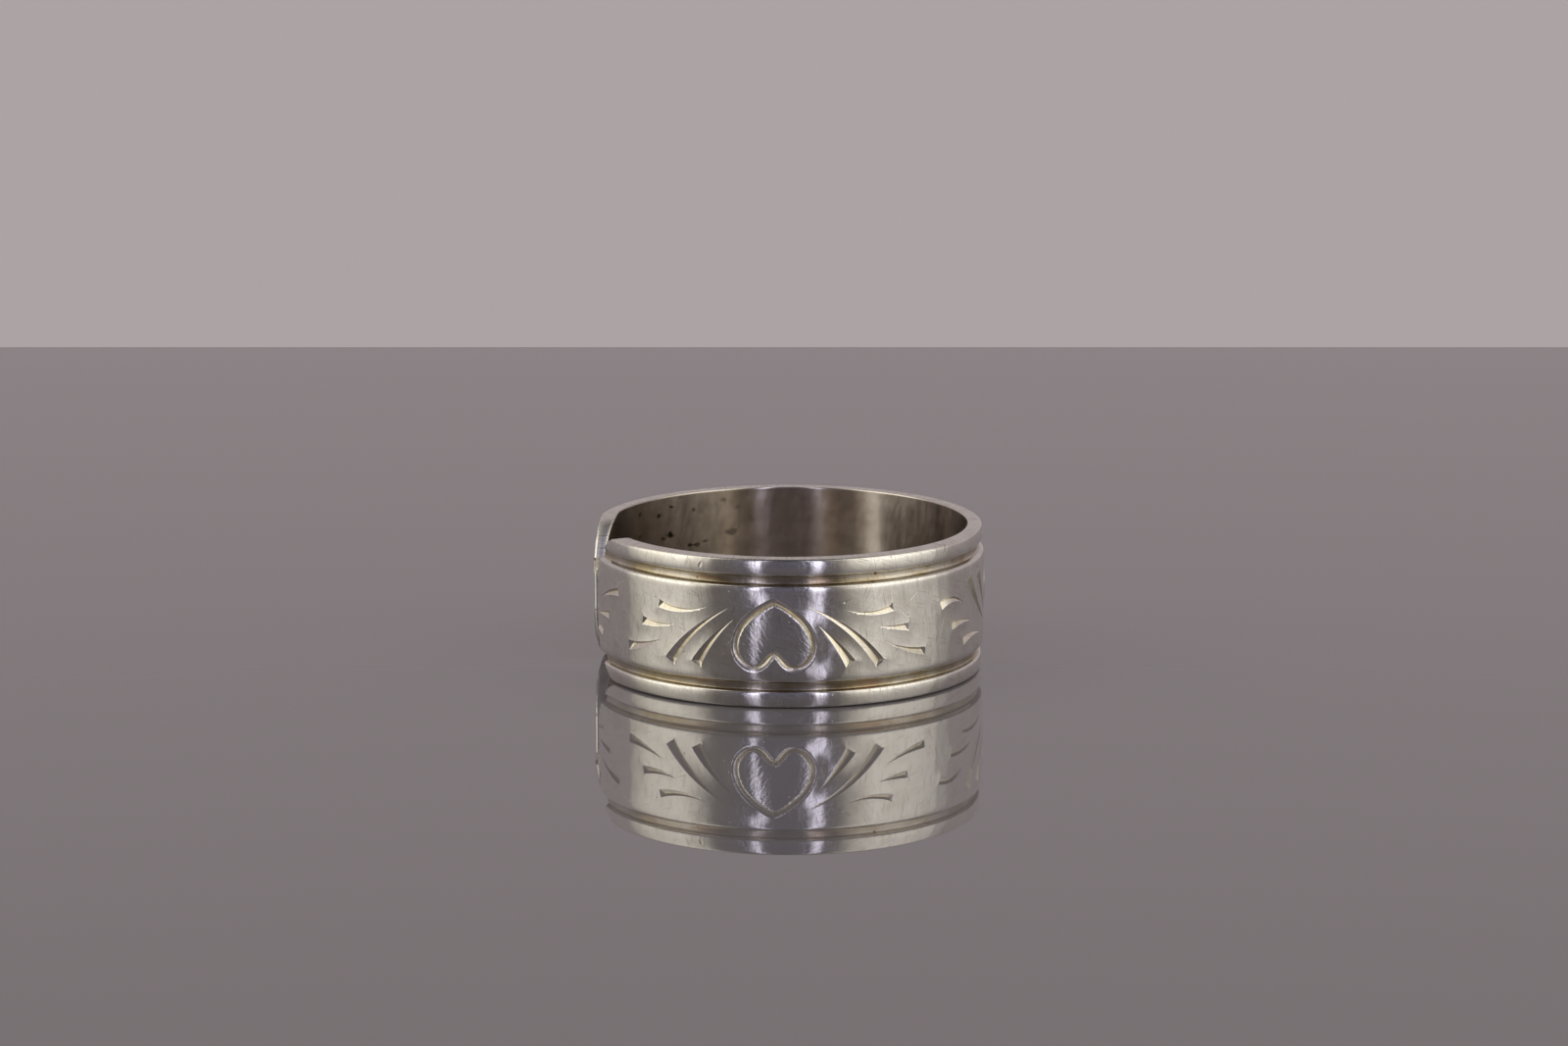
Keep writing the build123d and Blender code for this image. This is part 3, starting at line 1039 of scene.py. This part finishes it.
DENT_GROUND = 0.6
DENT_REACH = 2.0


def pits(tree, strip, spacing, radius, share):
    """Small round pits: 1 in a pit's middle and 0 outside, in a share of the cells only."""
    place = stretched(tree, strip, PIT_TURN, spacing, spacing * PIT_SQUASH)
    cell = add(tree, "ShaderNodeTexVoronoi", {}, place, Scale=1.0)
    pit = add(tree, "ShaderNodeMapRange", SOFT_STEP, cell, radius / spacing, 0.0)
    pick = add(tree, "ShaderNodeSeparateXYZ", {}, cell.outputs["Color"])
    chosen = add(tree, "ShaderNodeMath", {"operation": "LESS_THAN"}, pick, share)
    return add(tree, "ShaderNodeMath", MULTIPLY, pit, chosen)


def mark_height(tree, strip, mark):
    """One dent with a raised edge, in millimetres."""
    centred = from_place(tree, strip, mark["along"], mark["up"])
    local = stretched(tree, centred, mark["turn"], mark["length"], mark["width"])
    distance = add(tree, "ShaderNodeVectorMath", {"operation": "LENGTH"}, local)
    place = add(tree, "ShaderNodeMath", MULTIPLY, distance, 1 / DENT_REACH)
    shape = set_stops(
        add(tree, "ShaderNodeValToRGB", {}, place),
        [(far, (level, level, level, 1)) for far, level in DENT_SHAPE],
    )
    raised = add(tree, "ShaderNodeMath", {"operation": "SUBTRACT"}, shape, DENT_GROUND)
    return add(tree, "ShaderNodeMath", MULTIPLY, raised, mark["depth"])


def scratch_lines(tree, strip):
    """The hairline scratches of each direction, each 1 in a scratch and 0 beside it."""
    return [clouds(tree, strip, **row, detail=0.0) for row in SCRATCHES]


def worn_relief(tree, strip, pitted, scratches, heart, inner, outer):
    """The height of all wear in millimetres: on the outside, and as brushing in the bore."""
    height = add(tree, "ShaderNodeMath", MULTIPLY, pitted, -PIT_DEPTH)
    for line in scratches:
        height = add(tree, "ShaderNodeMath", MULTIPLY_ADD, line, -SCRATCH_DEPTH, height)
    ripple = clouds(tree, strip, **CLOUDS["ripple"])
    height = add(tree, "ShaderNodeMath", MULTIPLY_ADD, ripple, RIPPLE_HEIGHT, height)
    grain = clouds(tree, strip, **CLOUDS["grain"])
    height = add(tree, "ShaderNodeMath", MULTIPLY_ADD, grain, GRAIN_HEIGHT, height)
    punched = clouds(tree, strip, **CLOUDS["punch"])
    in_heart = add(tree, "ShaderNodeMath", MULTIPLY, heart, PUNCH_DEPTH)
    height = add(tree, "ShaderNodeMath", MULTIPLY_ADD, punched, in_heart, height)
    for mark in MARKS:
        dent = mark_height(tree, strip, mark)
        height = add(tree, "ShaderNodeMath", {"operation": "ADD"}, height, dent)
    height = add(tree, "ShaderNodeMath", MULTIPLY, height, outer)
    brush = clouds(tree, strip, **CLOUDS["brush"])
    in_bore = add(tree, "ShaderNodeMath", MULTIPLY, inner, BRUSH_HEIGHT)
    return add(tree, "ShaderNodeMath", MULTIPLY_ADD, brush, in_bore, height)


print("scratch directions:", len(SCRATCHES), "dents and single scratches:", len(MARKS))

# %% [markdown]
# ## Tarnish and dirt
# Where the polishing cloth doesn't reach, silver keeps its sulphide film: cream where it is thin,
# olive and brown where it is thick. So the tint follows how deep a place lies. A single spot of
# rust sits in the upper groove. The bore is greyer, darkest near the rear end, with stains.

# %% Colour
SILVER = "#f5f3eb"
CREAM_FILM = "#f6edd2"
OLIVE_FILM = "#a39370"
BROWN_FILM = "#a8876a"
THIN_FILM = "#c9bfa6"
DIRT = "#7a7163"
RUST_RED = "#7d3c26"
BORE_DARK = "#cdc3b6"
BORE_LIGHT = "#ddd4c8"
BORE_SHADE = "#8f8578"
STAIN = "#463b33"
RUST = dict(along=5.28, up=2.82, radius=0.10)
TARNISH_LEAST = 0.5
OLIVE_SHARE = 0.9
FILM_SHARE = 0.24
BORE_SHADE_SHARE = 0.5
BORE_SHADE_FROM = 31.0
BORE_SHADE_TO = 39.0
COLOURS = {"data_type": "RGBA"}


def outer_tint(tree, strip, low, groove):
    """The outside's colour: clean silver, with tarnish in what lies low and a thin film over all."""
    patchy = clouds(tree, strip, **CLOUDS["tarnish"])
    cover = add(tree, "ShaderNodeMath", MULTIPLY_ADD, patchy, 1 - TARNISH_LEAST, TARNISH_LEAST)
    tarnish = add(tree, "ShaderNodeMath", MULTIPLY, low, cover)
    olive = add(tree, "ShaderNodeMath", MULTIPLY, groove, OLIVE_SHARE)
    tint = add(tree, "ShaderNodeMix", COLOURS, olive, CREAM_FILM, OLIVE_FILM)
    tint = add(tree, "ShaderNodeMix", COLOURS, tarnish, SILVER, tint)
    patches = clouds(tree, strip, **CLOUDS["brown"])
    brown = add(tree, "ShaderNodeMath", MULTIPLY, patches, groove)
    tint = add(tree, "ShaderNodeMix", COLOURS, brown, tint, BROWN_FILM)
    hazy = clouds(tree, strip, **CLOUDS["film"])
    film = add(tree, "ShaderNodeMath", MULTIPLY, hazy, FILM_SHARE)
    return add(tree, "ShaderNodeMix", COLOURS, film, tint, THIN_FILM)


def bore_tint(tree, strip):
    """The bore's colour: mottled grey, darker towards the rear end, where it is stained."""
    mottled = clouds(tree, strip, **CLOUDS["mottle"])
    stain = clouds(tree, strip, **CLOUDS["stain"])
    along = add(tree, "ShaderNodeSeparateXYZ", {}, strip)
    near_end = add(tree, "ShaderNodeMapRange", SOFT_STEP, along, BORE_SHADE_FROM, BORE_SHADE_TO)
    shade = add(tree, "ShaderNodeMath", MULTIPLY, near_end, BORE_SHADE_SHARE)
    stained = add(tree, "ShaderNodeMath", MULTIPLY, stain, near_end)
    bore = add(tree, "ShaderNodeMix", COLOURS, mottled, BORE_DARK, BORE_LIGHT)
    bore = add(tree, "ShaderNodeMix", COLOURS, shade, bore, BORE_SHADE)
    return add(tree, "ShaderNodeMix", COLOURS, stained, bore, STAIN)


def rust_spot(tree, strip):
    """1 in the one small spot of rust in the upper groove, and 0 outside it."""
    centred = from_place(tree, strip, RUST["along"], RUST["up"])
    distance = add(tree, "ShaderNodeVectorMath", {"operation": "LENGTH"}, centred)
    return add(tree, "ShaderNodeMapRange", SOFT_STEP, distance, RUST["radius"], RUST["radius"] / 2)


print("bore shaded from, mm along:", BORE_SHADE_FROM, "of", round(STRIP_END, 1))

# %% [markdown]
# ## Silver
# Sterling silver, filed and then polished on a wheel. It is nearly white and mirrors what is
# round it, with a roughness of 0.05 to 0.10. Tarnish in the cuts and grooves blurs the mirror,
# and so does the brushing in the bore, which stretches every glint along the band's height.

# %% Silver
DEEP_AT = 0.05
POLISH = 0.05
HAZE = 0.05
ROUGHER = dict(groove=0.08, deep=0.16, inner=0.14, rim=0.25)
BRUSH_STRETCH = 0.95
QUARTER_TURN = 0.25


def silver_material():
    """Worn polished sterling silver with tarnish in its cuts, and a brushed, stained bore."""
    material, tree = new_material("worn_sterling_silver")
    strip = add(tree, "ShaderNodeAttribute", {"attribute_name": "strip"}).outputs["Vector"]
    depth, groove, heart, inner, rim = [
        add(tree, "ShaderNodeAttribute", {"attribute_name": name}).outputs["Fac"]
        for name in ("depth", "groove", "heart", "inner", "rim")
    ]
    outer = add(tree, "ShaderNodeMath", {"operation": "SUBTRACT"}, 1.0, inner)
    deep = add(tree, "ShaderNodeMapRange", {}, depth, From_Max=DEEP_AT)
    low = add(tree, "ShaderNodeMath", {"operation": "MAXIMUM"}, deep, groove)

    pitted = pits(tree, strip, PIT_SPACING, PIT_RADIUS, PIT_SHARE)
    scratches = scratch_lines(tree, strip)
    dirty = pitted
    for line in scratches:
        dirt = add(tree, "ShaderNodeMath", MULTIPLY, line, SCRATCH_DIRT)
        dirty = add(tree, "ShaderNodeMath", {"operation": "MAXIMUM"}, dirty, dirt)
    dirty = add(tree, "ShaderNodeMath", MULTIPLY, dirty, outer)

    tint = outer_tint(tree, strip, low, groove)
    tint = add(tree, "ShaderNodeMix", COLOURS, inner, tint, bore_tint(tree, strip))
    tint = add(tree, "ShaderNodeMix", COLOURS, dirty, tint, DIRT)
    tint = add(tree, "ShaderNodeMix", COLOURS, rust_spot(tree, strip), tint, RUST_RED)

    hazy = clouds(tree, strip, **CLOUDS["haze"])
    rough = add(tree, "ShaderNodeMath", MULTIPLY_ADD, hazy, HAZE, POLISH)
    sources = dict(groove=groove, deep=deep, inner=inner, rim=rim)
    for name, source in sources.items():
        rough = add(tree, "ShaderNodeMath", MULTIPLY_ADD, source, ROUGHER[name], rough)

    height = worn_relief(tree, strip, pitted, scratches, heart, inner, outer)
    bump = add(tree, "ShaderNodeBump", {}, Distance=MM, Height=height)
    brushed = add(tree, "ShaderNodeMath", MULTIPLY, inner, BRUSH_STRETCH)
    round_bore = add(tree, "ShaderNodeTangent", {"direction_type": "RADIAL", "axis": "Z"})
    shader = add(
        tree, "ShaderNodeBsdfPrincipled", {}, Base_Color=tint, Metallic=1.0, Roughness=rough,
        Anisotropic=brushed, Anisotropic_Rotation=QUARTER_TURN, Tangent=round_bore, Normal=bump,
    )
    add(tree, "ShaderNodeOutputMaterial", {}, Surface=shader)
    print(material.name, "nodes:", len(tree.nodes))
    return material


ring.data.materials.append(silver_material())
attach(ring, "root")
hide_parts("ring_band")

# %% [markdown]
# ## Floor and backdrop
# The ring stands on smooth grey lacquer, which mirrors it at this flat angle. The floor ends
# behind the ring, and plain pale paper with its own even light closes the view.

# %% Floor and backdrop
FLOOR_REACH = 1.5
FLOOR_BACK = 0.104
BACKDROP_AT = 0.45
BACKDROP_FOOT = -0.6
BACKDROP_TOP = 1.0
LACQUER = dict(Base_Color="#969395", Metallic=0.4, Roughness=0.0, IOR=1.5)
PAPER = dict(
    Base_Color="#3c3838", Roughness=0.9, Emission_Color="#a49b9d", Emission_Strength=1.02,
)


def stage_sheet(name, near, far, width, material):
    """A flat sheet of the stage, square to the camera: near and far are (depth, height) in metres."""
    bm = bmesh.new()
    bmesh.ops.create_grid(bm, x_segments=1, y_segments=1, size=1)
    for vert in bm.verts:
        depth, height = far if vert.co.y > 0 else near
        vert.co = (math.copysign(width, vert.co.x), depth, height)
    turn = Matrix.Rotation(math.radians(CAMERA_TURN), 3, "Z")
    bmesh.ops.rotate(bm, matrix=turn, verts=bm.verts)
    mesh = bpy.data.meshes.new(name)
    bm.to_mesh(mesh)
    bm.free()
    mesh.materials.append(material)
    sheet = bpy.data.objects.new(name, mesh)
    bpy.context.scene.collection.objects.link(sheet)
    print("stage:", sheet.name, material.name)
    return sheet


def floor_material():
    """Smooth grey lacquer, which mirrors what stands on it at a flat angle."""
    material, tree = new_material("smooth_grey_lacquer")
    shader = add(tree, "ShaderNodeBsdfPrincipled", {}, **LACQUER)
    add(tree, "ShaderNodeOutputMaterial", {}, Surface=shader)
    return material


def backdrop_material():
    """Plain pale paper with its own even light."""
    material, tree = new_material("pale_paper")
    shader = add(tree, "ShaderNodeBsdfPrincipled", {}, **PAPER)
    add(tree, "ShaderNodeOutputMaterial", {}, Surface=shader)
    return material


stage_sheet("floor", (-FLOOR_REACH, 0), (FLOOR_BACK, 0), FLOOR_REACH, floor_material())
stage_sheet(
    "backdrop", (BACKDROP_AT, BACKDROP_FOOT), (BACKDROP_AT, BACKDROP_TOP), FLOOR_REACH,
    backdrop_material(),
)

# %% [markdown]
# ## Light
# Polished metal shows the room more than the light on it. So the light is drawn round the ring
# as a ramp over the compass: two large soft panels at the sides, two narrow strips in front,
# and a dim room between them. A second ramp dims it upwards. The camera itself sees pale paper.

# %% Light
LIGHT_SCALE = 2.4
SEEN_BEHIND = "#a39a9c"
AROUND = [
    dict(azimuth=-180, colour="#fff6ee", level=0.14),
    dict(azimuth=-150, colour="#fff6ee", level=0.20),
    dict(azimuth=-128, colour="#fff6f0", level=0.46),
    dict(azimuth=-104, colour="#fff8ee", level=0.58),
    dict(azimuth=-96, colour="#fff8ee", level=0.90),
    dict(azimuth=-86, colour="#fff9ee", level=1.23),
    dict(azimuth=-62, colour="#fff9f0", level=1.36),
    dict(azimuth=-52, colour="#fff9f0", level=1.00),
    dict(azimuth=-40, colour="#fff2ee", level=0.18),
    dict(azimuth=-20, colour="#e6dfff", level=0.13),
    dict(azimuth=-17.5, colour="#e9e5ff", level=1.95),
    dict(azimuth=-14.5, colour="#e9e5ff", level=1.95),
    dict(azimuth=-12, colour="#e6dfff", level=0.14),
    dict(azimuth=17.5, colour="#e6dfff", level=0.14),
    dict(azimuth=20, colour="#e9e5ff", level=2.20),
    dict(azimuth=24, colour="#e9e5ff", level=2.20),
    dict(azimuth=26.5, colour="#e6dfff", level=0.15),
    dict(azimuth=34, colour="#fff2ee", level=0.20),
    dict(azimuth=46, colour="#fff9f0", level=0.92),
    dict(azimuth=56, colour="#fff9f2", level=1.36),
    dict(azimuth=82, colour="#fff9f2", level=1.19),
    dict(azimuth=100.3, colour="#fff9f4", level=0.90),
    dict(azimuth=101.2, colour="#fff8f4", level=0.44),
    dict(azimuth=102.4, colour="#fff8f4", level=0.66),
    dict(azimuth=122, colour="#fff8f4", level=0.46),
    dict(azimuth=150, colour="#fff6ee", level=0.20),
    dict(azimuth=180, colour="#fff6ee", level=0.14),
]
LOWEST_LIGHT = -0.05
UPWARD = [
    dict(height=LOWEST_LIGHT, level=0.95),
    dict(height=0.20, level=1.00),
    dict(height=0.35, level=0.90),
    dict(height=0.50, level=0.92),
    dict(height=0.84, level=0.80),
    dict(height=0.94, level=0.25),
    dict(height=1.00, level=0.12),
]


def around_stops():
    """The light's colours round the ring, as shares of a full turn from straight behind it."""
    stops = []
    for row in AROUND:
        tint = linear(row["colour"])
        colour = (*[channel * row["level"] / LIGHT_SCALE for channel in tint[:3]], 1.0)
        stops.append(((row["azimuth"] + 180) / 360, colour))
    return stops


def upward_stops():
    """How the light dims upwards, as shares of the way from the lowest light to straight up."""
    return [
        ((row["height"] - LOWEST_LIGHT) / (1 - LOWEST_LIGHT), (*[row["level"]] * 3, 1.0))
        for row in UPWARD
    ]


def room():
    """Soft boxes round the ring for the metal to mirror, and pale paper to the eye."""
    world = bpy.data.worlds.new("studio")
    world.use_nodes = True
    tree = world.node_tree
    tree.nodes.clear()
    direction = add(tree, "ShaderNodeTexCoord", {}).outputs["Generated"]
    way = add(tree, "ShaderNodeSeparateXYZ", {}, direction)
    front = add(tree, "ShaderNodeMath", MULTIPLY, way.outputs["Y"], -1.0)
    angle = add(tree, "ShaderNodeMath", {"operation": "ARCTAN2"}, way.outputs["X"], front)
    turn = add(tree, "ShaderNodeMapRange", {}, angle, -math.pi, math.pi)
    around = set_stops(add(tree, "ShaderNodeValToRGB", {}, turn), around_stops())
    height = add(tree, "ShaderNodeMapRange", {}, way.outputs["Z"], LOWEST_LIGHT)
    upward = set_stops(add(tree, "ShaderNodeValToRGB", {}, height), upward_stops())
    multiply = {"data_type": "RGBA", "blend_type": "MULTIPLY"}
    light = add(tree, "ShaderNodeMix", multiply, 1.0, around, upward)
    boxes = add(tree, "ShaderNodeBackground", {}, light, LIGHT_SCALE)
    pale = add(tree, "ShaderNodeBackground", {}, SEEN_BEHIND)
    seen = add(tree, "ShaderNodeLightPath", {}).outputs["Is Camera Ray"]
    mix = add(tree, "ShaderNodeMixShader", {}, seen, boxes, pale)
    add(tree, "ShaderNodeOutputWorld", {}, Surface=mix)
    bpy.context.scene.world = world


room()
bpy.context.scene.view_settings.view_transform = "Standard"
print("light stops:", len(AROUND), "around and", len(UPWARD), "upwards")
